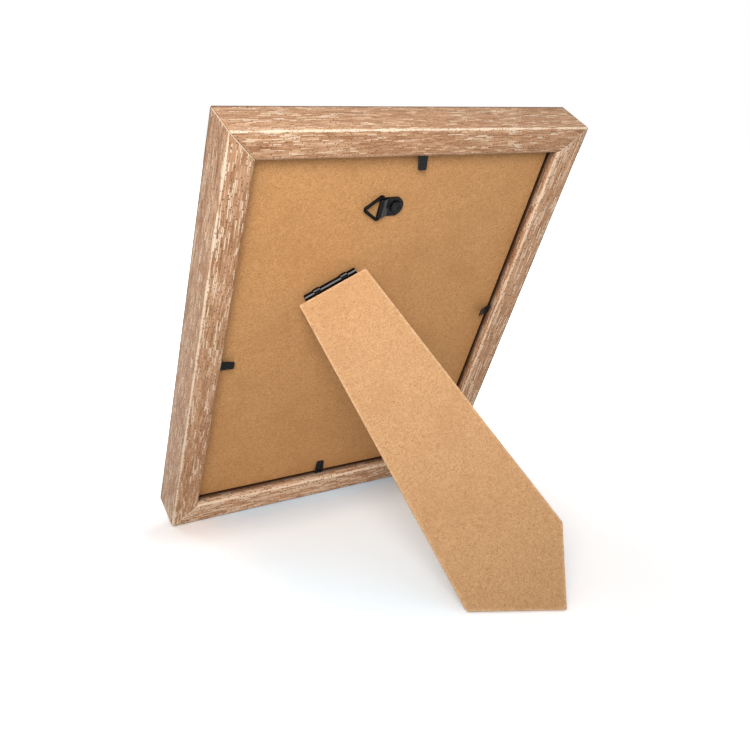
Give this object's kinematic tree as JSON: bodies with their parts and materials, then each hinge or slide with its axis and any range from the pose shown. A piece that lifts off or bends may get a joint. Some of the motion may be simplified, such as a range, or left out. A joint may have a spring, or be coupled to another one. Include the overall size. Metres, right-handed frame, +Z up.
{
  "type": "easel back photo frame",
  "caption": "Mitred wooden photo frame with a fibreboard back, a hinged strut leg to stand it up, a strap hanger with a wire ring, and bendable tabs that hold the back in.",
  "frame": {"origin": "middle of the footprint, on the floor that the frame stands on", "axes": "+Z up, the picture faces -Y, the back and the strut leg face +Y, +X to the left as seen from behind"},
  "size_m": [0.182, 0.1967, 0.2142],
  "materials": {
    "rail_finish": "limed, satin",
    "fibreboard": "matte",
    "black_steel": "satin",
    "bare_steel": "satin",
    "glass": "polished",
    "card": "matte"
  },
  "bodies": {
    "frame": {"rail_top": "rail_finish", "rail_bottom": "rail_finish", "rail_left": "rail_finish", "rail_right": "rail_finish", "tab_tang_top": "black_steel", "tab_tang_bottom": "black_steel", "tab_tang_left": "black_steel", "tab_tang_right": "black_steel", "corner_nails": "bare_steel", "back_panel": "fibreboard", "photo_insert": "card", "glass_pane": "glass", "hinge_board_leaf": "black_steel", "hinge_board_rivets": "black_steel", "hinge_pin": "black_steel", "hanger_rivet": "black_steel", "hanger_washer": "bare_steel"},
    "leg": {"easel_leg": "fibreboard", "hinge_leg_leaf": "black_steel", "hinge_leg_rivets": "black_steel"},
    "hanger": {"hanger_strap": "black_steel"},
    "ring": {"hanger_ring": "black_steel"},
    "tab_top": {"tab_blade_top": "black_steel"},
    "tab_bottom": {"tab_blade_bottom": "black_steel"},
    "tab_left": {"tab_blade_left": "black_steel"},
    "tab_right": {"tab_blade_right": "black_steel"}
  },
  "joints": [
    {"name": "leg_fold", "type": "hinge", "parent": "frame", "child": "leg", "pos_m": [0.0268, -0.01242, 0.1341], "axis": [-0.8652, 0.2392, 0.4408], "range_deg": [0, 60.2]},
    {"name": "hanger_turn", "type": "hinge", "parent": "frame", "child": "hanger", "pos_m": [0.0021, 0.00546, 0.17094], "axis": [0, 0.879, -0.4769], "continuous": true},
    {"name": "ring_flip", "type": "hinge", "parent": "hanger", "child": "ring", "pos_m": [0.0101, 0.00668, 0.17028], "axis": [0, 0.4769, 0.879], "range_deg": [-7.62, 142.38]},
    {"name": "tab_bend_top", "type": "hinge", "parent": "frame", "child": "tab_top", "pos_m": [-0.0043, 0.01967, 0.19429], "axis": [1, 0, 0], "range_deg": [-26.06, 56.5]},
    {"name": "tab_bend_bottom", "type": "hinge", "parent": "frame", "child": "tab_bottom", "pos_m": [0.0034, -0.07781, 0.01463], "axis": [-1, 0, 0], "range_deg": [0, 82.56]},
    {"name": "tab_bend_left", "type": "hinge", "parent": "frame", "child": "tab_left", "pos_m": [0.0768, -0.03308, 0.09707], "axis": [0, -0.4769, -0.879], "range_deg": [-12.56, 70]},
    {"name": "tab_bend_right", "type": "hinge", "parent": "frame", "child": "tab_right", "pos_m": [-0.0768, -0.02621, 0.10973], "axis": [0, 0.4769, 0.879], "range_deg": [-29.56, 53]}
  ]
}
